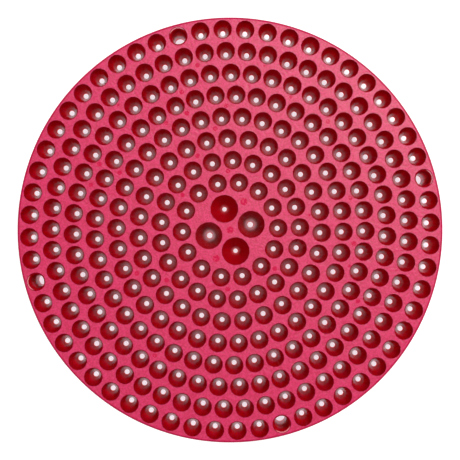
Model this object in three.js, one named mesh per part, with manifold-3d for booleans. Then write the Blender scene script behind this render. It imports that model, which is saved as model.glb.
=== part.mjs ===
// Bucket grit trap: a round plate full of funnels that stands on hollow legs at the bottom of a wash bucket.
// Grit falls through the funnels and settles in the space between their tips and the bucket's floor.
// It is one moulding. Here each ring of funnels is a node per quarter, and each leg and each large cone of
// the hub is a node with its own patch of the plate, so that every node is a simple shape with no hole
// in its middle. Millimetres, +Z up. The origin is the middle of the footprint, where the legs stand.
import * as THREE from "three";
import { mergeVertices } from "three/addons/utils/BufferGeometryUtils.js";
import Module from "manifold-3d";

const wasm = await Module();
wasm.setup();

// Driving dimensions.
const DISC_RADIUS = 132;
const HEIGHT = 40; // from the foot of the legs to the top face
const PLATE = 2.4;
const EDGE_CHAMFER = 1.2;
const SKIRT_WALL = 1.1;
const SKIRT_DROP = 5.6; // below the plate
const FUNNEL_DEPTH = 20; // from the top face to the funnel's tip
const FIRST_RING_RADIUS = 29.9;
const RING_PITCH = 13.52;
const RING_COUNTS = [14, 21, 27, 34, 41, 47, 53, 56]; // places on each ring, from the hub outwards
const HUB_RADIUS = 13.6; // circle on which the four large cones of the hub lie

// Bores: radius at the top face, radius at the lower end, and depth from the top face to that end.
const FUNNEL = { mouth: 5.6, outlet: 1.55, depth: FUNNEL_DEPTH, wall: 1.1, sides: 6 };
const WIDE_FUNNEL = { mouth: 8.5, outlet: 1.3, depth: FUNNEL_DEPTH, wall: 1.1, sides: 16 };
const CENTRE_LEG = { mouth: 8.3, outlet: 1.75, depth: HEIGHT, wall: 1.2, sides: 16 };
const LEG = { mouth: 5.0, outlet: 3.1, depth: HEIGHT, wall: 1.2, sides: 12 };

// Derived places and small allowances.
const TOP = HEIGHT;
const UNDERSIDE = HEIGHT - PLATE;
const LAST_RING = RING_COUNTS.length - 1;
const QUARTER = Math.PI / 2;
const START = QUARTER; // each ring has its first place on the +Y axis
const OUTLINE_SIDES = 72;
const SAGITTA = 0.2; // the most that a joint circle's straight sides may stray inwards
const FUNNEL_ROUND = 1.04; // a six-sided bore's corners lie a little outside the round one
const ROOT = 0.3; // how far the outside of a funnel or leg runs up into the plate
const PAST = 1; // how far a cutter runs past the face that it opens
const FAR = 3 * DISC_RADIUS; // well outside the disc

const ringRadius = (ring) => FIRST_RING_RADIUS + RING_PITCH * ring;
const at = (radius, angle) => new THREE.Vector3(radius * Math.cos(angle), radius * Math.sin(angle), 0);

// A closed three.js geometry as a solid.
function solid(geometry) {
  const bare = geometry.index ? geometry.toNonIndexed() : geometry;
  bare.deleteAttribute("normal");
  bare.deleteAttribute("uv");
  const merged = mergeVertices(bare, 1e-4);
  return new wasm.Manifold(
    new wasm.Mesh({
      numProp: 3,
      vertProperties: merged.attributes.position.array,
      triVerts: new Uint32Array(merged.index.array),
    }),
  );
}

// A solid as a three.js geometry with flat faces.
function geometryOf(made) {
  const mesh = made.getMesh();
  const geometry = new THREE.BufferGeometry();
  geometry.setAttribute("position", new THREE.BufferAttribute(new Float32Array(mesh.vertProperties), 3));
  geometry.setIndex(new THREE.BufferAttribute(new Uint32Array(mesh.triVerts), 1));
  const flat = geometry.toNonIndexed();
  flat.computeVertexNormals();
  return flat;
}

// A profile of [radius, height] points turned about the Z axis, with a corner at cornerAngle.
function turned(profile, sides, cornerAngle = 0) {
  const points = profile.map(([radius, height]) => new THREE.Vector2(radius, height));
  return solid(new THREE.LatheGeometry(points, sides).rotateX(QUARTER).rotateZ(QUARTER + cornerAngle));
}

const disc = (radius, low, high, sides) =>
  turned([[0, low], [radius, low], [radius, high], [0, high]], sides);

// The radius of a bore's wall at a height.
function boreRadius(bore, height) {
  const share = (TOP - height) / bore.depth;
  return bore.mouth + (bore.outlet - bore.mouth) * share;
}

// What a bore takes out: a cone that runs past its lower end and past the top face.
function boreCutter({ bore, centre, cornerAngle, round = 1 }) {
  const ends = [TOP - bore.depth - PAST, TOP + PAST];
  const [lower, upper] = ends.map((height) => [boreRadius(bore, height) * round, height]);
  const profile = [[0, ends[0]], lower, upper, [0, ends[1]]];
  return turned(profile, bore.sides, cornerAngle).translate([centre.x, centre.y, 0]);
}

// The outside of what hangs under a bore, from its lower end up into the plate.
function boreBody({ bore, centre, cornerAngle, round = 1 }) {
  const ends = [TOP - bore.depth, UNDERSIDE + ROOT];
  const [lower, upper] = ends.map((height) => [(boreRadius(bore, height) + bore.wall) * round, height]);
  const profile = [[0, ends[0]], lower, upper, [0, ends[1]]];
  return turned(profile, bore.sides, cornerAngle).translate([centre.x, centre.y, 0]);
}

// Joint circle between two rings of the plate, or between the hub and the first ring.
const jointRadius = (ring) => ringRadius(ring) - RING_PITCH / 2;
function jointDisc(ring, low, high) {
  const radius = jointRadius(ring);
  const sides = 4 * Math.ceil((Math.PI * Math.sqrt(radius / (2 * SAGITTA))) / 4);
  return disc(radius, low, high, sides);
}

// The outermost part of the plate: a bevelled top edge and the downturned skirt under it.
function outlineDisc() {
  const foot = UNDERSIDE - SKIRT_DROP;
  const inner = DISC_RADIUS - SKIRT_WALL;
  const profile = [
    [0, UNDERSIDE],
    [inner, UNDERSIDE],
    [inner, foot],
    [DISC_RADIUS, foot],
    [DISC_RADIUS, TOP - EDGE_CHAMFER],
    [DISC_RADIUS - EDGE_CHAMFER, TOP],
    [0, TOP],
  ];
  return turned(profile, OUTLINE_SIDES);
}

// A tall wedge between two angles less than half a turn apart, with its edge on the Z axis.
function wedge(from, to) {
  const corners = [from, (from + to) / 2, to].map((angle) => at(FAR, angle));
  const outline = new THREE.Shape([new THREE.Vector2(0, 0), ...corners]);
  const prism = new THREE.ExtrudeGeometry(outline, { depth: HEIGHT + 2 * PAST, bevelEnabled: false });
  return solid(prism.translate(0, 0, -PAST));
}

// A part of the plate with what hangs from it. Bores opens holes; each hangs a cone, funnel or leg.
function platePart(plate, bores) {
  const whole = wasm.Manifold.union([plate, ...bores.map(boreBody)]);
  return whole.subtract(wasm.Manifold.union(bores.map(boreCutter)));
}

// The angle of a place on a ring, counted from the +Y axis. Half a place further is midway to the next.
const placeAngle = (ring, place) => START + (2 * Math.PI * place) / RING_COUNTS[ring];

// Four places of the last ring hold legs.
const isLeg = (ring, place) => ring === LAST_RING && place % (RING_COUNTS[ring] / 4) === 0;

// Every bore of a ring.
function ringBores(ring) {
  return RING_COUNTS_TO_PLACES[ring].map((place) => {
    const angle = placeAngle(ring, place);
    const centre = at(ringRadius(ring), angle);
    if (isLeg(ring, place)) return { bore: LEG, centre, cornerAngle: angle };
    // A funnel's flat sides face its neighbours along the ring, or on the last ring the skirt.
    const cornerAngle = ring === LAST_RING ? angle + Math.PI / FUNNEL.sides : angle;
    return { bore: FUNNEL, centre, cornerAngle, round: FUNNEL_ROUND };
  });
}
const RING_COUNTS_TO_PLACES = RING_COUNTS.map((count) => [...Array(count).keys()]);

// A ring from one joint circle to the next. The last ring ends at the disc's outline.
function wholeRing(ring) {
  const plate = ring === LAST_RING ? outlineDisc() : jointDisc(ring + 1, UNDERSIDE, TOP);
  const middle = jointDisc(ring, UNDERSIDE - PAST, TOP + PAST);
  return platePart(plate.subtract(middle), ringBores(ring));
}

// The middle of the plate with its four large cones.
function wholeHub() {
  const bores = HUB_CONES.map(({ bore, angle }) => ({
    bore,
    centre: at(HUB_RADIUS, angle),
    cornerAngle: angle,
  }));
  return platePart(jointDisc(0, UNDERSIDE, TOP), bores);
}

const HUB_CONES = [
  { name: "hub_leg_right", bore: CENTRE_LEG, angle: 0 },
  { name: "hub_funnel_back", bore: WIDE_FUNNEL, angle: QUARTER },
  { name: "hub_leg_left", bore: CENTRE_LEG, angle: 2 * QUARTER },
  { name: "hub_funnel_front", bore: WIDE_FUNNEL, angle: 3 * QUARTER },
];
// Anticlockwise from the +Y axis, as the places are counted.
const QUARTERS = ["back_left", "front_left", "front_right", "back_right"];
const LEGS = ["leg_back", "leg_left", "leg_front", "leg_right"];

// Everything is one glossy crimson plastic.
const crimson = () => new THREE.MeshStandardMaterial({ color: 0xd4325f, roughness: 0.38, metalness: 0 });

const gritTrap = new THREE.Group();

function add(name, made) {
  const mesh = new THREE.Mesh(geometryOf(made), crimson());
  mesh.name = name;
  gritTrap.add(mesh);
}

const hub = wholeHub();
HUB_CONES.forEach(({ name, angle }) =>
  add(name, hub.intersect(wedge(angle - QUARTER / 2, angle + QUARTER / 2))),
);

// Each quarter of a ring ends midway between two funnels, as near as it can to a quarter turn.
RING_COUNTS.forEach((count, ring) => {
  const whole = wholeRing(ring);
  QUARTERS.forEach((side, quarter) => {
    const after = ring === LAST_RING ? 0.5 : -0.5; // a leg's own patch lies between two quarters
    const first = Math.ceil((quarter * count) / 4) + after;
    const last = Math.ceil(((quarter + 1) * count) / 4) - 0.5;
    const cut = wedge(placeAngle(ring, first), placeAngle(ring, last));
    add(`funnel_ring_${ring + 1}_${side}`, whole.intersect(cut));
  });
  if (ring !== LAST_RING) return;
  LEGS.forEach((name, index) => {
    const place = (index * count) / 4;
    add(name, whole.intersect(wedge(placeAngle(ring, place - 0.5), placeAngle(ring, place + 0.5))));
  });
});

export default gritTrap;
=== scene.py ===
"""Bucket grit trap: a crimson plate of funnels on hollow legs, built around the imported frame.

Run as a script inside Blender. Lengths are in metres, in the frame's own axes, with +Z up.
"""

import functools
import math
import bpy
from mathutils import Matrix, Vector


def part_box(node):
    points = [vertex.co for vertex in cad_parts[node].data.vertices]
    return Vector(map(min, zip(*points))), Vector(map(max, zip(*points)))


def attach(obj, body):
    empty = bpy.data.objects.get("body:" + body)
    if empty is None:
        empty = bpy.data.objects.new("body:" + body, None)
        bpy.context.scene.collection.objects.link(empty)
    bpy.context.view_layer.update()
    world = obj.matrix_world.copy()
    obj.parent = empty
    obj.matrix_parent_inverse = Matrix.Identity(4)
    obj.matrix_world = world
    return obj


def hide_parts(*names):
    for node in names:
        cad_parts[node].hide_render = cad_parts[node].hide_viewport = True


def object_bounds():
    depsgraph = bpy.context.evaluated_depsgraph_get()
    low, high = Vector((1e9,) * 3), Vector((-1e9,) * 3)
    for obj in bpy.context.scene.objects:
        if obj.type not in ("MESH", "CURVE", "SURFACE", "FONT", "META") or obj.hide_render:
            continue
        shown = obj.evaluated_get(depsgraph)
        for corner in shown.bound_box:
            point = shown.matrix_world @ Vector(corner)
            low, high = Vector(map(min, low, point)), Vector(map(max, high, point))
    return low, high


bl_info = {
    "name": "Bucket grit trap",
    "version": (1, 0, 0),
    "blender": (4, 5, 0),
    "location": "3D View > Sidebar > Grit Trap",
    "description": "Builds a moulded grit trap: rings of funnels in a plate on hollow legs",
    "category": "Add Mesh",
}

import bmesh
import bpy
from mathutils import Vector

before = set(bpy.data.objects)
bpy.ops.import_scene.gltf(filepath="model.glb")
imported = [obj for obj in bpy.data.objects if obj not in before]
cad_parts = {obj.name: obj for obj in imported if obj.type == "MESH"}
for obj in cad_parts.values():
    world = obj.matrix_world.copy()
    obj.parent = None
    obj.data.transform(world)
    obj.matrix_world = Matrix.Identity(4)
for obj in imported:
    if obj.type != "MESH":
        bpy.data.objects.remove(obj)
CAD_BOX = [list(corner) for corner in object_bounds()]

BODY = "root"
MM = 0.001

# What the frame says.
DISC_RADIUS = CAD_BOX[1][0]
TOP = CAD_BOX[1][2]
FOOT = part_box("leg_right")[0].z
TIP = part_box("funnel_ring_1_back_left")[0].z

# How the moulding is laid out.
RING_COUNTS = (14, 21, 27, 34, 41, 47, 53, 56)
LEGS = 4
QUARTERS = ("back_left", "front_left", "front_right", "back_right")
SIDES = {"right": 0.0, "back": 90.0, "left": 180.0, "front": 270.0}
LONG_CONE_SIDES = ("right", "left")

# Ejector marks lie in the gap outside a ring, midway between a place of some ring and its next place.
# Each row is the ring inside the gap, the ring that sets the direction, and the places.
GAP_MARKS = (
    (1, 1, (1, 13)),
    (1, 2, (9, 12)),
    (2, 2, (0, 15)),
    (2, 3, (8,)),
    (3, 3, (7, 26)),
    (4, 4, (0, 1, 4, 22, 23, 25)),
    (4, 5, (39,)),
    (5, 5, (0, 5, 6, 34, 36)),
    (5, 6, (17, 29)),
    (6, 6, (3, 43, 46)),
)
HUB_MARK_ANGLES = (49.0, 229.0)
HUB_MARK_REACH = 1.44  # times the radius of the hub circle

OUTLINE_SIDES = 180  # of the plate and of the rim, which meet face to face
CONE_SIDES = 48
WELD = 0.004 * MM  # corners closer than this are one


# ------------------------------------------------------------------ settings


class GritTrapSizes(bpy.types.PropertyGroup):
    """Sizes of the moulding that a user would change."""

    plate: bpy.props.FloatProperty(
        name="Plate thickness",
        description="Thickness of the flat plate",
        default=2.4 * MM,
        unit="LENGTH",
    )
    first_ring: bpy.props.FloatProperty(
        name="First ring radius",
        description="Radius of the circle on which the innermost funnels lie",
        default=29.9 * MM,
        unit="LENGTH",
    )
    ring_pitch: bpy.props.FloatProperty(
        name="Ring pitch",
        description="Distance from one ring of funnels to the next",
        default=13.52 * MM,
        unit="LENGTH",
    )
    mouth: bpy.props.FloatProperty(
        name="Funnel mouth radius",
        description="Radius of a funnel's mouth, outside its lip",
        default=5.85 * MM,
        unit="LENGTH",
    )
    lip: bpy.props.FloatProperty(
        name="Lip",
        description="Width of the bevelled lip round a mouth",
        default=0.45 * MM,
        unit="LENGTH",
    )
    outlet: bpy.props.FloatProperty(
        name="Funnel outlet radius",
        description="Radius of the hole in a funnel's tip",
        default=1.55 * MM,
        unit="LENGTH",
    )
    wall: bpy.props.FloatProperty(
        name="Wall",
        description="Thickness of a funnel's wall at its tip",
        default=1.1 * MM,
        unit="LENGTH",
    )
    funnel_sides: bpy.props.IntProperty(
        name="Funnel sides",
        description="Straight sides that make up each small funnel",
        default=16,
        min=8,
        max=48,
    )
    hub_radius: bpy.props.FloatProperty(
        name="Hub circle radius",
        description="Radius of the circle on which the four large cones lie",
        default=13.6 * MM,
        unit="LENGTH",
    )
    wide_hole: bpy.props.FloatProperty(
        name="Wide cone radius",
        description="Radius of a wide hub cone where it meets the plate",
        default=8.75 * MM,
        unit="LENGTH",
    )
    long_hole: bpy.props.FloatProperty(
        name="Long cone radius",
        description="Radius of a long hub cone where it meets the plate",
        default=8.5 * MM,
        unit="LENGTH",
    )
    mark_radius: bpy.props.FloatProperty(
        name="Ejector mark radius",
        description="Radius of the round ejector marks between the rings",
        default=1.55 * MM,
        unit="LENGTH",
    )
    hub_mark_radius: bpy.props.FloatProperty(
        name="Hub mark radius",
        description="Radius of the larger ejector marks on the hub",
        default=2.25 * MM,
        unit="LENGTH",
    )
    mark_depth: bpy.props.FloatProperty(
        name="Mark depth",
        description="How far an ejector mark is sunk into the top face",
        default=0.12 * MM,
        unit="LENGTH",
    )
    rim_round: bpy.props.FloatProperty(
        name="Rim rounding",
        description="Radius of the rim's rounded upper edge",
        default=1.2 * MM,
        unit="LENGTH",
    )
    skirt_height: bpy.props.FloatProperty(
        name="Skirt height",
        description="Height of the rim from its foot to the top face",
        default=8.0 * MM,
        unit="LENGTH",
    )
    skirt_wall: bpy.props.FloatProperty(
        name="Skirt wall",
        description="Thickness of the downturned skirt",
        default=1.1 * MM,
        unit="LENGTH",
    )


class GritTrapFinish(bpy.types.PropertyGroup):
    """Colours and gloss of the plastic."""

    colour: bpy.props.FloatVectorProperty(
        name="Plastic colour",
        description="Body colour of the crimson plastic",
        default=(0.56, 0.002, 0.057),
        subtype="COLOR",
        min=0.0,
        max=1.0,
    )
    # Painted shade: a darker, redder copy of the plastic's colour, standing in for the shade deep in the
    # bores.
    painted_shade_bore_colour: bpy.props.FloatVectorProperty(
        name="Bore colour with painted shade",
        description="Colour of the thin walls of funnels, cones and legs, which look denser",
        default=(0.36, 0.001, 0.006),
        subtype="COLOR",
        min=0.0,
        max=1.0,
    )
    face_roughness: bpy.props.FloatProperty(
        name="Face roughness",
        description="Roughness of the grained top face",
        default=0.31,
        min=0.0,
        max=1.0,
        subtype="FACTOR",
    )
    bore_roughness: bpy.props.FloatProperty(
        name="Bore roughness",
        description="Roughness of the thin walls",
        default=0.22,
        min=0.0,
        max=1.0,
        subtype="FACTOR",
    )


# ------------------------------------------------------------- node building

FLOAT = "NodeSocketFloat"
INTEGER = "NodeSocketInt"
BOOLEAN = "NodeSocketBool"
GEOMETRY = "NodeSocketGeometry"
MATERIAL = "NodeSocketMaterial"
VECTOR = "NodeSocketVector"


def built_once(name):
    """Lets a node group be built the first time it is asked for, and found by its name after that."""

    def wrap(build):
        @functools.wraps(build)
        def find_or_build():
            return bpy.data.node_groups.get(name) or build(name)

        return find_or_build

    return wrap


def new_tree(kind, name, inputs, outputs):
    """An empty node group with named sockets. Inputs and outputs are (name, socket type, default)."""
    tree = bpy.data.node_groups.new(name, kind)
    for direction, sockets in (("INPUT", inputs), ("OUTPUT", outputs)):
        for socket_name, socket_type, default in sockets:
            socket = tree.interface.new_socket(
                socket_name, in_out=direction, socket_type=socket_type
            )
            if default is not None:
                socket.default_value = default
    return tree, tree.nodes.new("NodeGroupInput").outputs, tree.nodes.new("NodeGroupOutput").inputs


def node(tree, kind, inputs=None, **settings):
    """A node with its settings, and with each named or numbered input set to a value or linked."""
    made = tree.nodes.new(kind)
    for key, value in settings.items():
        setattr(made, key, value)
    for key, value in (inputs or {}).items():
        socket = made.inputs[key]
        if isinstance(value, bpy.types.NodeSocket):
            tree.links.new(value, socket)
        elif isinstance(value, (list, tuple)) and value and isinstance(value[0], bpy.types.NodeSocket):
            for one in value:
                tree.links.new(one, socket)
        else:
            socket.default_value = value
    return made


def maths(tree, operation, *values):
    """The result of a Math node."""
    return node(tree, "ShaderNodeMath", dict(enumerate(values)), operation=operation).outputs[0]


def length_of(tree, vector):
    """How long a vector is."""
    return node(tree, "ShaderNodeVectorMath", {0: vector}, operation="LENGTH").outputs["Value"]


def ramp(tree, value, span, ends, kind="SMOOTHSTEP"):
    """Runs from the first end to the second as a value crosses a span."""
    return node(
        tree,
        "ShaderNodeMapRange",
        {
            "Value": value,
            "From Min": span[0],
            "From Max": span[1],
            "To Min": ends[0],
            "To Max": ends[1],
        },
        interpolation_type=kind,
    ).outputs["Result"]


def noise(tree, place, scale, detail, roughness):
    """The value of a Noise Texture."""
    return node(
        tree,
        "ShaderNodeTexNoise",
        {"Vector": place, "Scale": scale, "Detail": detail, "Roughness": roughness},
    ).outputs[0]


def mix_colour(tree, factor, first, second):
    """The first colour where the factor is 0, and the second where it is 1."""
    mixed = node(
        tree, "ShaderNodeMix", {0: factor, 6: first, 7: second}, data_type="RGBA", blend_type="MIX"
    )
    return mixed.outputs[2]


def use(tree, group, inputs):
    """A group node in a material."""
    return node(tree, "ShaderNodeGroup", inputs, node_tree=group)


@built_once("Turned wall")
def turned_wall_group(name):
    """Geometry group: one straight-sided wall turned about the Z axis, between two radii and heights."""
    tree, given, result = new_tree(
        "GeometryNodeTree",
        name,
        [
            ("Sides", INTEGER, 16),
            ("Upper Radius", FLOAT, 1.0),
            ("Upper Height", FLOAT, 1.0),
            ("Lower Radius", FLOAT, 1.0),
            ("Lower Height", FLOAT, 0.0),
            ("Faces Inwards", BOOLEAN, False),
        ],
        [("Geometry", GEOMETRY, None)],
    )
    cone = node(
        tree,
        "GeometryNodeMeshCone",
        {
            "Vertices": given["Sides"],
            "Side Segments": 1,
            "Radius Top": given["Upper Radius"],
            "Radius Bottom": given["Lower Radius"],
            "Depth": maths(tree, "SUBTRACT", given["Upper Height"], given["Lower Height"]),
        },
        fill_type="NONE",
    )
    lift = node(tree, "ShaderNodeCombineXYZ", {"Z": given["Lower Height"]})
    placed = node(
        tree,
        "GeometryNodeTransform",
        {"Geometry": cone.outputs["Mesh"], "Translation": lift.outputs[0]},
    ).outputs[0]
    flipped = node(tree, "GeometryNodeFlipFaces", {"Mesh": placed}).outputs[0]
    chosen = node(
        tree,
        "GeometryNodeSwitch",
        {"Switch": given["Faces Inwards"], "False": placed, "True": flipped},
        input_type="GEOMETRY",
    )
    tree.links.new(chosen.outputs[0], result["Geometry"])
    return tree


def turned_wall(tree, sides, upper, lower, inwards):
    """A Turned wall in a tree. Upper and lower are (radius, height)."""
    return node(
        tree,
        "GeometryNodeGroup",
        {
            "Sides": sides,
            "Upper Radius": upper[0],
            "Upper Height": upper[1],
            "Lower Radius": lower[0],
            "Lower Height": lower[1],
            "Faces Inwards": inwards,
        },
        node_tree=turned_wall_group(),
    ).outputs[0]


FUNNEL_SOCKETS = [
    ("Sides", INTEGER, 16),
    ("Top", FLOAT, 40 * MM),
    ("Underside", FLOAT, 37.6 * MM),
    ("Tip", FLOAT, 20 * MM),
    ("Mouth Radius", FLOAT, 5.8 * MM),
    ("Lip", FLOAT, 0.4 * MM),
    ("Outlet Radius", FLOAT, 1.6 * MM),
    ("Wall", FLOAT, 1.1 * MM),
]


@built_once("Funnel")
def funnel_group(name):
    """Geometry group: one closed funnel on the Z axis, with a bevelled lip and an open tip."""
    tree, given, result = new_tree(
        "GeometryNodeTree", name, FUNNEL_SOCKETS, [("Geometry", GEOMETRY, None)]
    )
    top, tip, mouth, lip = (given[k] for k in ("Top", "Tip", "Mouth Radius", "Lip"))
    outlet = given["Outlet Radius"]
    throat = maths(tree, "SUBTRACT", mouth, lip)
    lip_foot = maths(tree, "SUBTRACT", top, lip)
    outside = maths(tree, "ADD", outlet, given["Wall"])
    rows = [
        ((mouth, top), (throat, lip_foot), True),
        ((throat, lip_foot), (outlet, tip), True),
        ((outlet, tip), (outside, tip), True),
        ((mouth, given["Underside"]), (outside, tip), False),
        ((mouth, top), (mouth, given["Underside"]), False),
    ]
    walls = [turned_wall(tree, given["Sides"], *row) for row in rows]
    joined = node(tree, "GeometryNodeJoinGeometry", {"Geometry": walls})
    merged = node(
        tree, "GeometryNodeMergeByDistance", {"Geometry": joined.outputs[0], "Distance": WELD}
    )
    tree.links.new(merged.outputs[0], result["Geometry"])
    return tree


def funnel_ring_tree():
    """Geometry tree: a ring of funnels. Places that hold legs are left empty."""
    tree, given, result = new_tree(
        "GeometryNodeTree",
        "Funnel ring",
        [
            ("Geometry", GEOMETRY, None),
            ("Count", INTEGER, 14),
            ("Ring Radius", FLOAT, 30 * MM),
            ("Holds Legs", BOOLEAN, False),
            ("Leg Every", INTEGER, 14),
            *FUNNEL_SOCKETS,
            ("Material", MATERIAL, None),
        ],
        [("Geometry", GEOMETRY, None)],
    )
    circle = node(
        tree,
        "GeometryNodeMeshCircle",
        {"Vertices": given["Count"], "Radius": given["Ring Radius"]},
        fill_type="NONE",
    )
    first_on_y = node(
        tree,
        "GeometryNodeTransform",
        {"Geometry": circle.outputs[0], "Rotation": (0.0, 0.0, math.pi / 2)},
    )
    index = node(tree, "GeometryNodeInputIndex").outputs[0]
    remainder = maths(tree, "MODULO", index, given["Leg Every"])
    at_leg = maths(tree, "LESS_THAN", remainder, 0.5)
    left_out = maths(tree, "MULTIPLY", at_leg, given["Holds Legs"])
    places = node(
        tree,
        "GeometryNodeDeleteGeometry",
        {"Geometry": first_on_y.outputs[0], "Selection": left_out},
        domain="POINT",
    )
    funnel = node(
        tree,
        "GeometryNodeGroup",
        {name: given[name] for name, _, _ in FUNNEL_SOCKETS},
        node_tree=funnel_group(),
    )
    copies = node(
        tree,
        "GeometryNodeInstanceOnPoints",
        {"Points": places.outputs[0], "Instance": funnel.outputs[0]},
    )
    real = node(tree, "GeometryNodeRealizeInstances", {"Geometry": copies.outputs[0]})
    painted = node(
        tree,
        "GeometryNodeSetMaterial",
        {"Geometry": real.outputs[0], "Material": given["Material"]},
    )
    tree.links.new(painted.outputs[0], result["Geometry"])
    return tree


def pierced_plate_tree():
    """Geometry tree: a round plate with a hole or a shallow mark at each given point.

    The points carry "hole" (radius, 0 for none) and "mark" (radius, 0 for none).
    """
    tree, given, result = new_tree(
        "GeometryNodeTree",
        "Pierced plate",
        [
            ("Geometry", GEOMETRY, None),
            ("Outline Radius", FLOAT, 130 * MM),
            ("Outline Sides", INTEGER, 144),
            ("Hole Sides", INTEGER, 18),
            ("Top", FLOAT, 40 * MM),
            ("Underside", FLOAT, 37.6 * MM),
            ("Mark Depth", FLOAT, 0.1 * MM),
            ("Material", MATERIAL, None),
            ("Mark Material", MATERIAL, None),
        ],
        [("Geometry", GEOMETRY, None)],
    )
    top, underside = given["Top"], given["Underside"]

    def points_with(attribute):
        """The points whose attribute isn't 0, and the attribute."""
        radius = node(
            tree, "GeometryNodeInputNamedAttribute", {"Name": attribute}, data_type="FLOAT"
        ).outputs["Attribute"]
        without = maths(tree, "LESS_THAN", radius, WELD)
        kept = node(
            tree,
            "GeometryNodeDeleteGeometry",
            {"Geometry": given["Geometry"], "Selection": without},
            domain="POINT",
        )
        return kept.outputs[0], radius

    def scaled_on(points, radius, instance):
        """Copies of something of radius 1 on the points, each scaled to the point's radius."""
        scale = node(tree, "ShaderNodeCombineXYZ", {"X": radius, "Y": radius, "Z": 1.0})
        copies = node(
            tree,
            "GeometryNodeInstanceOnPoints",
            {"Points": points, "Instance": instance, "Scale": scale.outputs[0]},
        )
        return node(tree, "GeometryNodeRealizeInstances", {"Geometry": copies.outputs[0]}).outputs[0]

    def circle(radius, sides):
        return node(
            tree,
            "GeometryNodeCurvePrimitiveCircle",
            {"Resolution": sides, "Radius": radius},
            mode="RADIUS",
        ).outputs["Curve"]

    def sheet(curves, height):
        """A flat face at a height, inside the outer curve and outside the ones in it."""
        joined = node(tree, "GeometryNodeJoinGeometry", {"Geometry": curves}).outputs[0]
        filled = node(tree, "GeometryNodeFillCurve", {"Curve": joined}).outputs[0]
        lift = node(tree, "ShaderNodeCombineXYZ", {"Z": height}).outputs[0]
        return node(
            tree, "GeometryNodeTransform", {"Geometry": filled, "Translation": lift}
        ).outputs[0]

    outline = circle(given["Outline Radius"], given["Outline Sides"])
    hole_points, hole_radius = points_with("hole")
    mark_points, mark_radius = points_with("mark")
    unit = circle(1.0, given["Hole Sides"])
    holes = scaled_on(hole_points, hole_radius, unit)
    marks = scaled_on(mark_points, mark_radius, unit)
    sunk = maths(tree, "SUBTRACT", top, given["Mark Depth"])
    hole_wall = turned_wall(tree, given["Hole Sides"], (1.0, top), (1.0, underside), True)
    mark_wall = turned_wall(tree, given["Hole Sides"], (1.0, top), (1.0, sunk), True)
    parts = [
        sheet([outline, holes, marks], top),
        node(tree, "GeometryNodeFlipFaces", {"Mesh": sheet([outline, holes], underside)}).outputs[0],
        scaled_on(hole_points, hole_radius, hole_wall),
        scaled_on(mark_points, mark_radius, mark_wall),
        sheet([marks], sunk),
        turned_wall(
            tree,
            given["Outline Sides"],
            (given["Outline Radius"], top),
            (given["Outline Radius"], underside),
            False,
        ),
    ]
    joined = node(tree, "GeometryNodeJoinGeometry", {"Geometry": parts}).outputs[0]
    merged = node(
        tree, "GeometryNodeMergeByDistance", {"Geometry": joined, "Distance": WELD}
    ).outputs[0]
    real = node(tree, "GeometryNodeRealizeInstances", {"Geometry": merged}).outputs[0]
    grained = node(
        tree, "GeometryNodeSetMaterial", {"Geometry": real, "Material": given["Material"]}
    ).outputs[0]
    # The floors of the marks are the only faces at their height.
    place = node(tree, "GeometryNodeInputPosition").outputs[0]
    height = node(tree, "ShaderNodeSeparateXYZ", {0: place}).outputs["Z"]
    above_floor = maths(tree, "ABSOLUTE", maths(tree, "SUBTRACT", height, sunk))
    marked = node(
        tree,
        "GeometryNodeSetMaterial",
        {
            "Geometry": grained,
            "Selection": maths(tree, "LESS_THAN", above_floor, WELD),
            "Material": given["Mark Material"],
        },
    )
    tree.links.new(marked.outputs[0], result["Geometry"])
    return tree


# ------------------------------------------------------------ finishing pieces


def put_in_scene(mesh, name):
    """A new object for a mesh, at the origin."""
    piece = bpy.data.objects.new(name, mesh)
    bpy.context.scene.collection.objects.link(piece)
    return piece


def grown(name, seed_mesh, tree, values):
    """Runs a geometry tree on a seed mesh and gives back its result as a plain object."""
    seed = put_in_scene(seed_mesh, name + "_seed")
    modifier = seed.modifiers.new("Shape", "NODES")
    modifier.node_group = tree
    sockets = {s.name: s for s in tree.interface.items_tree if s.in_out == "INPUT"}
    for key, value in values.items():
        modifier[sockets[key].identifier] = value
    seed.update_tag()
    graph = bpy.context.evaluated_depsgraph_get()
    mesh = bpy.data.meshes.new_from_object(seed.evaluated_get(graph))
    seed.modifiers.remove(modifier)
    bpy.data.objects.remove(seed)
    if not mesh.polygons:
        raise RuntimeError(f"the geometry tree made nothing for {name}")
    mesh.name = name
    return put_in_scene(mesh, name)


def shade(piece, angle_degrees):
    """Smooth shading with sharp edges past an angle."""
    piece.data.shade_smooth()
    piece.data.set_sharp_from_angle(angle=math.radians(angle_degrees))


def check_closed(piece):
    """Stops the script if a piece has an open or doubled edge, or is inside out."""
    shape = bmesh.new()
    shape.from_mesh(piece.data)
    loose = sum(1 for edge in shape.edges if len(edge.link_faces) != 2)
    volume = shape.calc_volume(signed=True)
    shape.free()
    if loose or volume <= 0:
        raise RuntimeError(f"{piece.name} isn't a closed solid: {loose} bad edges, volume {volume}")


def finish_piece(piece, nodes, angle_degrees=35.0):
    """Shades a piece, checks it, and puts it on the frame in place of CAD nodes."""
    shade(piece, angle_degrees)
    check_closed(piece)
    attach(piece, BODY)
    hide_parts(*nodes)


def lathe(name, profile, sides, centre=(0.0, 0.0)):
    """A closed profile of (radius, height) corners turned about an upright axis.

    The profile runs anticlockwise when radius goes right and height goes up.
    """
    shape = bmesh.new()
    rows = []
    for step in range(sides):
        angle = 2 * math.pi * step / sides
        across, along = math.cos(angle), math.sin(angle)
        rows.append(
            [
                shape.verts.new((centre[0] + radius * across, centre[1] + radius * along, height))
                for radius, height in profile
            ]
        )
    for step, row in enumerate(rows):
        following = rows[(step + 1) % sides]
        for corner in range(len(profile)):
            further = (corner + 1) % len(profile)
            shape.faces.new((row[corner], following[corner], following[further], row[further]))
    mesh = bpy.data.meshes.new(name)
    shape.to_mesh(mesh)
    shape.free()
    return put_in_scene(mesh, name)


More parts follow.
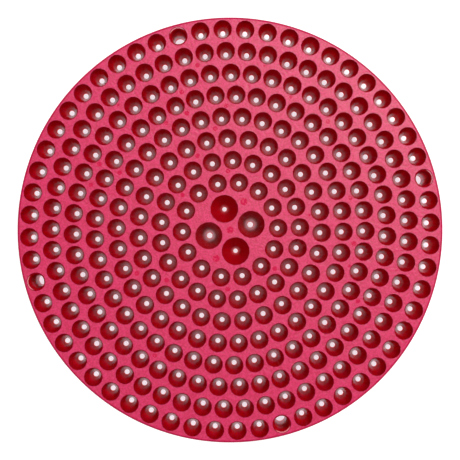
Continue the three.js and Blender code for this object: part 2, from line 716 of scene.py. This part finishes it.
def paint_wall(piece, centre, finish, inside):
    """Gives a turned piece one surface inside and the outer one where it looks away from its axis."""
    piece.data.materials.append(plastic_for(finish, inside))
    piece.data.materials.append(plastic_for(finish, "outer wall"))
    for face in piece.data.polygons:
        out_x, out_y = face.center.x - centre[0], face.center.y - centre[1]
        if face.normal.x * out_x + face.normal.y * out_y > 0.0:
            face.material_index = 1


def arc(centre, radius, start_degrees, end_degrees, steps):
    """Corners of an arc in a profile, with both ends."""
    corners = []
    for step in range(steps + 1):
        angle = math.radians(start_degrees + (end_degrees - start_degrees) * step / steps)
        corners.append(
            (centre[0] + radius * math.cos(angle), centre[1] + radius * math.sin(angle))
        )
    return corners


def polar(radius, degrees):
    """A point on a circle about the Z axis."""
    angle = math.radians(degrees)
    return radius * math.cos(angle), radius * math.sin(angle)


# ------------------------------------------------------------------ layout


def ring_radius(sizes, ring):
    """Radius of the circle on which a ring's funnels lie. The first ring is 1."""
    return sizes.first_ring + sizes.ring_pitch * (ring - 1)


def place_degrees(ring, place):
    """Direction of a place on a ring. The first is on +Y, and a half is midway to the next."""
    return 90.0 + 360.0 * place / RING_COUNTS[ring - 1]


def last_ring():
    """The ring that holds the legs and the rim."""
    return len(RING_COUNTS)


def quarter_nodes(ring):
    """The CAD nodes of one ring of funnels."""
    return [f"funnel_ring_{ring}_{quarter}" for quarter in QUARTERS]


# ---------------------------------------------------------------- materials

PLASTIC_IOR = 1.49
GRAZING_IOR = 1.06  # so weak that a wall mirrors the floor only at a grazing angle
# Painted glow: the brighter red that the deep part of a bore is painted. The outsides of cones and legs
# are given this colour too.
OUTER_WALL_AND_PAINTED_GLOW_COLOUR = (0.46, 0.004, 0.022)
SCATTER_REACH = (1.0, 0.2, 0.08)  # of red, green and blue light, as shares of the glow depth


@built_once("Moulded grain")
def grain_group(name):
    """Shader group: the spark-eroded grain of a mould face, a coarse one with a finer one in it."""
    tree, given, result = new_tree(
        "ShaderNodeTree",
        name,
        [("Position", VECTOR, None), ("Grain Size", FLOAT, 0.6 * MM), ("Contrast", FLOAT, 0.5)],
        [("Height", FLOAT, None), ("Mask", FLOAT, None)],
    )
    times_finer, fine_share = 2.6, 0.35
    scale = maths(tree, "DIVIDE", 1.0, given["Grain Size"])
    fine_scale = maths(tree, "MULTIPLY", scale, times_finer)
    coarse = noise(tree, given["Position"], scale, detail=1.0, roughness=0.5)
    fine = noise(tree, given["Position"], fine_scale, detail=2.0, roughness=0.6)
    fine_part = maths(tree, "MULTIPLY", fine, fine_share)
    both = maths(tree, "MULTIPLY_ADD", coarse, 1.0 - fine_share, fine_part)
    centred = maths(tree, "SUBTRACT", both, 0.5)
    height = maths(tree, "MULTIPLY_ADD", centred, given["Contrast"], 0.5)
    tree.links.new(height, result["Height"])
    tree.links.new(maths(tree, "MINIMUM", maths(tree, "MAXIMUM", height, 0.0), 1.0), result["Mask"])
    return tree


@built_once("Melt flow")
def flow_group(name):
    """Shader group: broad, soft clouding where the melt flowed outwards from the hub."""
    tree, given, result = new_tree(
        "ShaderNodeTree",
        name,
        [("Position", VECTOR, None), ("Cloud Size", FLOAT, 20 * MM), ("Streak Count", FLOAT, 9.0)],
        [("Mask", FLOAT, None)],
    )
    streak_share = 0.4
    scale = maths(tree, "DIVIDE", 1.0, given["Cloud Size"])
    clouds = noise(tree, given["Position"], scale, detail=2.0, roughness=0.5)
    # Streaks run outwards, so they follow the direction from the hub and hardly change along it.
    outwards = node(tree, "ShaderNodeVectorMath", {0: given["Position"]}, operation="NORMALIZE")
    streaks = noise(tree, outwards.outputs[0], given["Streak Count"], detail=3.0, roughness=0.55)
    cloud_part = maths(tree, "MULTIPLY", clouds, 1.0 - streak_share)
    tree.links.new(maths(tree, "MULTIPLY_ADD", streaks, streak_share, cloud_part), result["Mask"])
    return tree


@built_once("Turned tool lines")
def tool_line_group(name):
    """Shader group: fine rings that a turned core pin leaves round a bore, level by level."""
    tree, given, result = new_tree(
        "ShaderNodeTree",
        name,
        [("Position", VECTOR, None), ("Line Pitch", FLOAT, 0.4 * MM)],
        [("Height", FLOAT, None)],
    )
    wander = 60.0  # a little of the plan position is let in, so that lines differ from bore to bore
    parts = node(tree, "ShaderNodeSeparateXYZ", {0: given["Position"]}).outputs
    per_pitch = maths(tree, "DIVIDE", 1.0, given["Line Pitch"])
    place = node(
        tree,
        "ShaderNodeCombineXYZ",
        {
            "X": maths(tree, "MULTIPLY", parts["X"], wander),
            "Y": maths(tree, "MULTIPLY", parts["Y"], wander),
            "Z": maths(tree, "MULTIPLY", parts["Z"], per_pitch),
        },
    ).outputs[0]
    tree.links.new(noise(tree, place, 1.0, detail=2.0, roughness=0.6), result["Height"])
    return tree


@built_once("Bore polish")
def bore_polish_group(name):
    """Shader group: polish that a core pin leaves deep in a bore, broken up by the pin's rings.

    Hub Share is the share of it that the bores next to the hub keep.
    """
    tree, given, result = new_tree(
        "ShaderNodeTree",
        name,
        [
            ("Position", VECTOR, None),
            ("Full Below", FLOAT, 24 * MM),
            ("Gone Above", FLOAT, 34 * MM),
            ("Polish", FLOAT, 0.3),
            ("Left Above", FLOAT, 0.0),
            ("Hub Share", FLOAT, 1.0),
        ],
        [("Weight", FLOAT, None), ("Painted Glow Mask", FLOAT, None)],
    )
    ring_pitch, ring_contrast = 4.5 * MM, 0.8
    hub_edge, full_polish = 40.0 * MM, 95.0 * MM
    height = node(tree, "ShaderNodeSeparateXYZ", {0: given["Position"]}).outputs["Z"]
    span = (given["Full Below"], given["Gone Above"])
    # The depth mask carries a painted glow: it mixes a brighter colour into the deep part of a bore.
    tree.links.new(ramp(tree, height, span, (1.0, 0.0)), result["Painted Glow Mask"])
    fade = ramp(tree, height, span, (given["Polish"], given["Left Above"]))
    away = length_of(tree, given["Position"])
    share = ramp(tree, away, (hub_edge, full_polish), (given["Hub Share"], 1.0), "LINEAR")
    rings = use(
        tree, tool_line_group(), {"Position": given["Position"], "Line Pitch": ring_pitch}
    ).outputs["Height"]
    swing = maths(tree, "MULTIPLY", maths(tree, "SUBTRACT", rings, 0.5), ring_contrast)
    ringed = maths(tree, "MULTIPLY", fade, maths(tree, "ADD", swing, 1.0))
    tree.links.new(maths(tree, "MULTIPLY", ringed, share), result["Weight"])
    return tree


@built_once("Lit step")
def lit_step_group(name):
    """Shader group: a painted glow on the rim side of a leg's inner step, standing in for light that
    comes through the thin wall there.
    """
    tree, given, result = new_tree(
        "ShaderNodeTree",
        name,
        [
            ("Position", VECTOR, None),
            ("Leg Ring Radius", FLOAT, 120 * MM),
            ("Height", FLOAT, 38.8 * MM),
        ],
        [("Mask", FLOAT, None)],
    )
    starts, full, half_height = 2.4 * MM, 4.6 * MM, 0.16 * MM
    parts = node(tree, "ShaderNodeSeparateXYZ", {0: given["Position"]}).outputs
    plan = node(tree, "ShaderNodeCombineXYZ", {"X": parts["X"], "Y": parts["Y"]}).outputs[0]
    beyond = maths(tree, "SUBTRACT", length_of(tree, plan), given["Leg Ring Radius"])
    rim_side = ramp(tree, beyond, (starts, full), (0.0, 1.0))
    apart = maths(tree, "ABSOLUTE", maths(tree, "SUBTRACT", parts["Z"], given["Height"]))
    at_step = maths(tree, "LESS_THAN", apart, half_height)
    tree.links.new(maths(tree, "MULTIPLY", rim_side, at_step), result["Mask"])
    return tree


def body_colour(tree, look, grain, flow):
    """The plastic's own colour, denser where the melt clouded it and paler on the grain's crests."""
    red, green, blue = look["colour"]
    dense = (red * 0.86, green * 0.8, blue * 0.8, 1.0)
    paler = (min(red * 1.42, 1.0), green * look["paling"], blue * 2.9, 1.0)
    most_clouding = 0.35
    clouding = maths(tree, "MULTIPLY", flow, most_clouding)
    clouded = mix_colour(tree, clouding, (red, green, blue, 1.0), dense)
    return mix_colour(tree, maths(tree, "MULTIPLY", grain, look["speckle"]), clouded, paler)


def bump(tree, height, distance, **below):
    """A normal raised by a height, on top of the normal below it."""
    return node(
        tree, "ShaderNodeBump", {"Strength": 1.0, "Distance": distance, "Height": height, **below}
    ).outputs[0]


def add_polish(tree, shader, look, position, grain, colour):
    """A thin gloss deep in a bore, in flecks, and a painted glow there: a brighter colour mixed in deep
    in the bore.
    """
    polish = use(tree, bore_polish_group(), {"Position": position, **look["polish"]}).outputs
    flecks = maths(tree, "ADD", grain, 0.5)
    tree.links.new(maths(tree, "MULTIPLY", polish["Weight"], flecks), shader["Coat Weight"])
    shader["Coat Roughness"].default_value = look["polish_roughness"]
    shader["Coat IOR"].default_value = look["polish_ior"]
    return mix_colour(tree, polish["Painted Glow Mask"], colour, (*look["throat_colour"], 1.0))


def plastic(name, look):
    """The crimson plastic. The look holds what differs from one moulded surface to another."""
    material = bpy.data.materials.new(name)
    material.use_nodes = True
    tree = material.node_tree
    shader = tree.nodes["Principled BSDF"].inputs
    position = node(tree, "ShaderNodeTexCoord").outputs["Object"]
    grain = use(
        tree,
        grain_group(),
        {"Position": position, "Grain Size": look["grain_size"], "Contrast": 3.6},
    ).outputs
    flow = use(
        tree, flow_group(), {"Position": position, "Cloud Size": 24 * MM, "Streak Count": 9.0}
    ).outputs["Mask"]
    lines = use(
        tree, tool_line_group(), {"Position": position, "Line Pitch": 0.45 * MM}
    ).outputs["Height"]

    colour = body_colour(tree, look, grain["Mask"], flow)
    if "polish" in look:
        colour = add_polish(tree, shader, look, position, grain["Mask"], colour)
    tree.links.new(colour, shader["Base Color"])

    grain_swing, flow_swing = 0.1, 0.06
    smoothest = look["roughness"] - grain_swing / 2
    grained = maths(tree, "MULTIPLY_ADD", grain["Mask"], grain_swing, smoothest)
    uneven = maths(tree, "MULTIPLY_ADD", flow, flow_swing, grained)
    tree.links.new(uneven, shader["Roughness"])

    raised = bump(tree, grain["Height"], look["grain_depth"])
    turned = bump(tree, lines, look["line_depth"], Normal=raised)
    tree.links.new(turned, shader["Normal"])

    if "lit_step" in look:
        # Painted glow: the arc on the leg's step is given a pale pink emission, as light coming through
        # the wall.
        painted_arc = use(tree, lit_step_group(), {"Position": position, **look["lit_step"]})
        light = mix_colour(tree, painted_arc.outputs["Mask"], (0.0, 0.0, 0.0, 1.0), (0.48, 0.22, 0.27, 1.0))
        tree.links.new(light, shader["Emission Color"])
        shader["Emission Strength"].default_value = 1.0
    if "glow_depth" in look:
        shader["Subsurface Weight"].default_value = 1.0
        shader["Subsurface Radius"].default_value = SCATTER_REACH
        shader["Subsurface Scale"].default_value = look["glow_depth"]
    shader["IOR"].default_value = PLASTIC_IOR
    shader["Specular IOR Level"].default_value = look["specular_level"]
    return material


def face_look(finish):
    """The grained top face."""
    return {
        "colour": tuple(finish.colour),
        "roughness": finish.face_roughness,
        "specular_level": 0.46,
        "grain_size": 1.2 * MM,
        "grain_depth": 0.08 * MM,
        "line_depth": 0.0,
        "speckle": 0.6,
        "paling": 9.0,
    }


def mark_look(finish):
    """An ejector mark, smoother and a little redder than the face."""
    red, green, blue = finish.colour
    return {
        **face_look(finish),
        "colour": (red * 1.09, green, blue),
        "roughness": 0.22,
        "specular_level": 0.41,
        "grain_depth": 0.004 * MM,
        "speckle": 0.08,
    }


def rim_look(finish):
    """The rim, duller and with less grain than the face, and darker as painted shade."""
    return {
        **face_look(finish),
        # Painted shade: the rim is darker than the face, where its rounded edge turns away from the
        # light.
        "colour": tuple(channel * 0.86 for channel in finish.colour),
        "specular_level": 0.12,
        "grain_depth": 0.01 * MM,
        "speckle": 0.3,
    }


def wall_look(finish):
    """A thin wall, which glows with the light that scatters in it. Its colour is darkened as painted
    shade.
    """
    return {
        "colour": tuple(finish.painted_shade_bore_colour),
        "roughness": finish.bore_roughness,
        "specular_level": 0.001,
        "grain_size": 0.7 * MM,
        "grain_depth": 0.002 * MM,
        "line_depth": 0.004 * MM,
        "speckle": 0.2,
        "paling": 3.0,
        "glow_depth": 5.5 * MM,
    }


def outer_look(finish):
    """The outside of a cone or a leg, in the colour that the bores' painted glow runs to."""
    return {**wall_look(finish), "colour": OUTER_WALL_AND_PAINTED_GLOW_COLOUR}


def polished(finish, span, weights, **more):
    """The wall of a bore, polished below the span with the first weight and above it with the second.
    Below the span it is also painted a brighter colour as painted glow, fading out across the span.
    """
    return {
        **wall_look(finish),
        "throat_colour": OUTER_WALL_AND_PAINTED_GLOW_COLOUR,
        "polish": {
            "Full Below": span[0],
            "Gone Above": span[1],
            "Polish": weights[0],
            "Left Above": weights[1],
        },
        "polish_roughness": 0.16,
        "polish_ior": PLASTIC_IOR,
        **more,
    }


def funnel_look(finish):
    """The bore of a small funnel, painted a brighter red low down as painted glow. The ones next to the
    hub are the least polished.
    """
    look = polished(
        finish,
        (TIP + 3.0 * MM, TIP + 16.0 * MM),
        (0.95, 0.3),
        polish_roughness=0.05,
        polish_ior=GRAZING_IOR,
    )
    look["polish"]["Hub Share"] = 0.38
    return look


def long_cone_look(finish):
    """The bore of a long hub cone, with a painted glow: bright red far above its outlet."""
    return polished(
        finish,
        (FOOT + 3.0 * MM, FOOT + 19.0 * MM),
        (0.55, 0.005),
        glow_depth=4.0 * MM,
        throat_colour=(0.95, 0.04, 0.08),
    )


def wide_cone_look(finish):
    """The bore of a wide hub cone, polished and painted a brighter red as painted glow, only next to its
    outlet.
    """
    return polished(
        finish, (TIP + 1.0 * MM, TIP + 5.0 * MM), (0.5, 0.01), glow_depth=6.0 * MM
    )


def leg_look(finish):
    """The bore of a leg, with a painted glow low in it and a painted glowing arc on its step on the side
    of the rim.
    """
    step_height = TOP - 1.2 * MM
    leg_ring = ring_radius(bpy.context.scene.grit_trap_sizes, last_ring())
    return polished(
        finish,
        (FOOT + 14.0 * MM, FOOT + 31.0 * MM),
        (0.65, 0.02),
        glow_depth=2.5 * MM,
        throat_colour=(0.8, 0.12, 0.17),
        polish_roughness=0.12,
        lit_step={"Leg Ring Radius": leg_ring, "Height": step_height},
    )


LOOKS = {
    "grained face": face_look,
    "ejector mark": mark_look,
    "rim": rim_look,
    "outer wall": outer_look,
    "funnel bore": funnel_look,
    "long hub cone": long_cone_look,
    "wide hub cone": wide_cone_look,
    "leg bore": leg_look,
}


def plastic_for(finish, surface):
    """The plastic of one kind of surface, made once and shared by the pieces that have it."""
    name = f"Crimson plastic, {surface}"
    return bpy.data.materials.get(name) or plastic(name, LOOKS[surface](finish))


def light_table():
    """A pale floor that gives light, with a painted shadow under the plate: it gives less light there,
    in a pinkish tint. It can't be seen from below.
    """
    painted_shadow_under_plate, outside = (0.8, 0.7, 0.76, 1.0), (0.95, 0.95, 0.95, 1.0)
    edge = (DISC_RADIUS - 1.5 * MM, DISC_RADIUS + 5.0 * MM)
    material = bpy.data.materials.new("Pale light table")
    material.use_nodes = True
    tree = material.node_tree
    shader = tree.nodes["Principled BSDF"]
    shader.inputs["Base Color"].default_value = (0.3, 0.3, 0.3, 1.0)
    shader.inputs["Roughness"].default_value = 0.9
    position = node(tree, "ShaderNodeTexCoord").outputs["Object"]
    beyond_rim = ramp(tree, length_of(tree, position), edge, (0.0, 1.0))
    glow = mix_colour(tree, beyond_rim, painted_shadow_under_plate, outside)
    tree.links.new(glow, shader.inputs["Emission Color"])
    shader.inputs["Emission Strength"].default_value = 1.0
    behind = node(tree, "ShaderNodeNewGeometry").outputs["Backfacing"]
    clear = node(tree, "ShaderNodeBsdfTransparent").outputs[0]
    chosen = node(tree, "ShaderNodeMixShader", {0: behind, 1: shader.outputs[0], 2: clear})
    tree.links.new(chosen.outputs[0], tree.nodes["Material Output"].inputs["Surface"])
    return material


# ---------------------------------------------------------------- operators


class GRITTRAP_OT_plate(bpy.types.Operator):
    """Make the flat plate, pierced for every funnel, cone and leg, with its ejector marks"""

    bl_idname = "grit_trap.plate"
    bl_label = "Pierced plate"

    def execute(self, context):
        sizes, finish = context.scene.grit_trap_sizes, context.scene.grit_trap_finish
        least_gap = 0.1 * MM
        # Each place is a point, the radius of its hole and the radius of its mark.
        places = []
        for ring, count in enumerate(RING_COUNTS, start=1):
            radius = ring_radius(sizes, ring)
            for place in range(count):
                places.append((polar(radius, place_degrees(ring, place)), sizes.mouth, 0.0))
        for side, degrees in SIDES.items():
            hole = sizes.long_hole if side in LONG_CONE_SIDES else sizes.wide_hole
            places.append((polar(sizes.hub_radius, degrees), hole, 0.0))
        for gap, ring, marked in GAP_MARKS:
            radius = ring_radius(sizes, gap) + sizes.ring_pitch / 2
            for place in marked:
                at = polar(radius, place_degrees(ring, place + 0.5))
                clear = min(math.dist(at, other) for other, hole, _ in places if hole)
                size = min(sizes.mark_radius, clear - sizes.mouth - least_gap)
                places.append((at, 0.0, size))
        hub_marks = [(0.0, 0.0)]
        hub_marks += [polar(HUB_MARK_REACH * sizes.hub_radius, angle) for angle in HUB_MARK_ANGLES]
        places += [(at, 0.0, sizes.hub_mark_radius) for at in hub_marks]

        seed = bpy.data.meshes.new("plate_seed")
        seed.from_pydata([(x, y, 0.0) for (x, y), _, _ in places], [], [])
        for column, name in ((1, "hole"), (2, "mark")):
            layer = seed.attributes.new(name, "FLOAT", "POINT")
            layer.data.foreach_set("value", [place[column] for place in places])
        piece = grown(
            "pierced_plate",
            seed,
            pierced_plate_tree(),
            {
                "Outline Radius": DISC_RADIUS - sizes.rim_round,
                "Outline Sides": OUTLINE_SIDES,
                "Hole Sides": sizes.funnel_sides,
                "Top": TOP,
                "Underside": TOP - sizes.plate,
                "Mark Depth": sizes.mark_depth,
                "Material": plastic_for(finish, "grained face"),
                "Mark Material": plastic_for(finish, "ejector mark"),
            },
        )
        finish_piece(piece, [], angle_degrees=10.0)
        return {"FINISHED"}


class GRITTRAP_OT_funnel_rings(bpy.types.Operator):
    """Make the eight rings of small funnels"""

    bl_idname = "grit_trap.funnel_rings"
    bl_label = "Funnel rings"

    def execute(self, context):
        sizes, finish = context.scene.grit_trap_sizes, context.scene.grit_trap_finish
        tree = funnel_ring_tree()
        for ring, count in enumerate(RING_COUNTS, start=1):
            piece = grown(
                f"ring_{ring}_funnels",
                bpy.data.meshes.new(f"ring_{ring}_seed"),
                tree,
                {
                    "Count": count,
                    "Ring Radius": ring_radius(sizes, ring),
                    "Holds Legs": ring == last_ring(),
                    "Leg Every": count // LEGS,
                    "Sides": sizes.funnel_sides,
                    "Top": TOP,
                    "Underside": TOP - sizes.plate,
                    "Tip": TIP,
                    "Mouth Radius": sizes.mouth,
                    "Lip": sizes.lip,
                    "Outlet Radius": sizes.outlet,
                    "Wall": sizes.wall,
                    "Material": plastic_for(finish, "funnel bore"),
                },
            )
            finish_piece(piece, quarter_nodes(ring), angle_degrees=24.0)
        return {"FINISHED"}


class GRITTRAP_OT_hub_cones(bpy.types.Operator):
    """Make the four large cones of the hub: two long ones and two wide funnels"""

    bl_idname = "grit_trap.hub_cones"
    bl_label = "Hub cones"

    def execute(self, context):
        sizes, finish = context.scene.grit_trap_sizes, context.scene.grit_trap_finish
        long_outlet, wide_outlet = 1.7 * MM, 1.35 * MM
        lip_foot = TOP - sizes.lip
        smooth_part = 0.05  # the short stretch below the lip that rounds into the cone
        for side, degrees in SIDES.items():
            long = side in LONG_CONE_SIDES
            end = FOOT if long else TIP
            outlet = long_outlet if long else wide_outlet
            edge = sizes.long_hole if long else sizes.wide_hole
            mouth = edge - sizes.lip
            # The lip rounds over from the plate into the bore, in four corners.
            profile = [
                (edge, TOP - 0.02 * MM),
                (mouth + 0.35 * MM, TOP - 0.04 * MM),
                (mouth + 0.1 * MM, TOP - 0.16 * MM),
                (mouth, lip_foot),
                (mouth + (outlet - mouth) * smooth_part, lip_foot + (end - lip_foot) * smooth_part),
                (outlet, end),
                (outlet + sizes.wall, end),
                (edge, TOP - sizes.plate),
            ]
            kind, node_kind = ("long", "leg") if long else ("wide", "funnel")
            centre = polar(sizes.hub_radius, degrees)
            piece = lathe(f"hub_{kind}_cone_{side}", profile, CONE_SIDES, centre)
            paint_wall(piece, centre, finish, f"{kind} hub cone")
            finish_piece(piece, [f"hub_{node_kind}_{side}"], angle_degrees=50.0)
        return {"FINISHED"}


class GRITTRAP_OT_legs(bpy.types.Operator):
    """Make the four hollow legs"""

    bl_idname = "grit_trap.legs"
    bl_label = "Legs"

    def execute(self, context):
        sizes, finish = context.scene.grit_trap_sizes, context.scene.grit_trap_finish
        edge, outlet = sizes.mouth, 3.1 * MM
        # The bore steps inwards just below its mouth, and tapers from there to the foot.
        profile = [
            (edge, TOP),
            (edge - 0.12 * MM, TOP - 0.3 * MM),
            (edge - 0.2 * MM, TOP - 1.1 * MM),
            (edge - 0.75 * MM, TOP - 1.35 * MM),
            (edge - 0.95 * MM, TOP - 1.6 * MM),
            (outlet, FOOT),
            (outlet + sizes.wall, FOOT),
            (edge, TOP - sizes.plate),
        ]
        for side, degrees in SIDES.items():
            centre = polar(ring_radius(sizes, last_ring()), degrees)
            piece = lathe(f"hollow_leg_{side}", profile, sizes.funnel_sides, centre)
            paint_wall(piece, centre, finish, "leg bore")
            finish_piece(piece, [f"leg_{side}"], angle_degrees=50.0)
        return {"FINISHED"}


class GRITTRAP_OT_rim(bpy.types.Operator):
    """Make the rounded rim and its downturned skirt"""

    bl_idname = "grit_trap.rim"
    bl_label = "Rim"

    def execute(self, context):
        sizes, finish = context.scene.grit_trap_sizes, context.scene.grit_trap_finish
        curve = sizes.rim_round
        inner = DISC_RADIUS - sizes.skirt_wall
        foot = TOP - sizes.skirt_height
        bevel = 0.3 * MM
        profile = [
            (DISC_RADIUS - curve, TOP - sizes.plate),
            (inner, TOP - sizes.plate),
            (inner, foot + bevel),
            (inner + bevel, foot),
            (DISC_RADIUS - bevel, foot),
            (DISC_RADIUS, foot + bevel),
            *arc((DISC_RADIUS - curve, TOP - curve), curve, 0.0, 90.0, 6),
        ]
        piece = lathe("rounded_rim", profile, OUTLINE_SIDES)
        piece.data.materials.append(plastic_for(finish, "rim"))
        finish_piece(piece, quarter_nodes(last_ring()), angle_degrees=40.0)
        return {"FINISHED"}


class GRITTRAP_OT_stage(bpy.types.Operator):
    """Set up the pale floor, the soft studio light and the camera straight above"""

    bl_idname = "grit_trap.stage"
    bl_label = "Stage"

    def execute(self, context):
        scene = context.scene
        reach, gap_below_feet = 2.5, 0.05 * MM
        corners = [(-reach, -reach), (reach, -reach), (reach, reach), (-reach, reach)]
        floor_mesh = bpy.data.meshes.new("pale_floor")
        floor_mesh.from_pydata([(x, y, FOOT - gap_below_feet) for x, y in corners], [], [(0, 1, 2, 3)])
        floor_mesh.materials.append(light_table())
        put_in_scene(floor_mesh, "pale_floor")

        world = bpy.data.worlds.new("Soft white surround")
        world.use_nodes = True
        background = world.node_tree.nodes["Background"]
        background.inputs["Color"].default_value = (1.0, 1.0, 1.0, 1.0)
        background.inputs["Strength"].default_value = 0.18
        scene.world = world

        add_light("Key softbox", azimuth=34.0, elevation=65.0, distance=1.7, size=0.6, power=24.5)
        add_light("Fill softbox", azimuth=205.0, elevation=60.0, distance=1.8, size=1.5, power=7.5)

        height_above_plate, turn = 0.91, math.radians(-14.95)
        lens = bpy.data.cameras.new("Camera above")
        lens.sensor_width = 36.0
        lens.lens = 114.8
        camera = bpy.data.objects.new("Camera above", lens)
        camera.location = (0.0, 0.0, TOP + height_above_plate)
        camera.rotation_euler = (0.0, 0.0, turn)
        scene.collection.objects.link(camera)
        scene.camera = camera
        scene.view_settings.view_transform = "Standard"
        return {"FINISHED"}


def add_light(name, azimuth, elevation, distance, size, power):
    """A square softbox that looks at the middle of the plate. Angles are in degrees."""
    data = bpy.data.lights.new(name, "AREA")
    data.shape = "SQUARE"
    data.size = size
    data.energy = power
    lamp = bpy.data.objects.new(name, data)
    around, up = math.radians(azimuth), math.radians(elevation)
    away = Vector((math.cos(around) * math.cos(up), math.sin(around) * math.cos(up), math.sin(up)))
    lamp.location = Vector((0.0, 0.0, TOP)) + away * distance
    lamp.rotation_mode = "QUATERNION"
    lamp.rotation_quaternion = away.to_track_quat("Z", "Y")
    bpy.context.scene.collection.objects.link(lamp)


class GRITTRAP_PT_panel(bpy.types.Panel):
    """Lists the grit trap's pieces in the sidebar"""

    bl_idname = "GRITTRAP_PT_panel"
    bl_label = "Grit Trap"
    bl_space_type = "VIEW_3D"
    bl_region_type = "UI"
    bl_category = "Grit Trap"

    def draw(self, context):
        layout = self.layout
        sizes, finish = context.scene.grit_trap_sizes, context.scene.grit_trap_finish
        for group in (sizes, finish):
            box = layout.box()
            for name in type(group).__annotations__:
                box.prop(group, name)
        for operator in OPERATORS:
            layout.operator(operator.bl_idname)


OPERATORS = (
    GRITTRAP_OT_plate,
    GRITTRAP_OT_funnel_rings,
    GRITTRAP_OT_hub_cones,
    GRITTRAP_OT_legs,
    GRITTRAP_OT_rim,
    GRITTRAP_OT_stage,
)
CLASSES = (GritTrapSizes, GritTrapFinish, *OPERATORS, GRITTRAP_PT_panel)


def register():
    for one in CLASSES:
        bpy.utils.register_class(one)
    bpy.types.Scene.grit_trap_sizes = bpy.props.PointerProperty(type=GritTrapSizes)
    bpy.types.Scene.grit_trap_finish = bpy.props.PointerProperty(type=GritTrapFinish)


def unregister():
    del bpy.types.Scene.grit_trap_finish
    del bpy.types.Scene.grit_trap_sizes
    for one in reversed(CLASSES):
        bpy.utils.unregister_class(one)


def main():
    """Builds every piece and the stage."""
    register()
    bpy.ops.grit_trap.plate()
    bpy.ops.grit_trap.funnel_rings()
    bpy.ops.grit_trap.hub_cones()
    bpy.ops.grit_trap.legs()
    bpy.ops.grit_trap.rim()
    bpy.ops.grit_trap.stage()


if __name__ == "__main__":
    main()
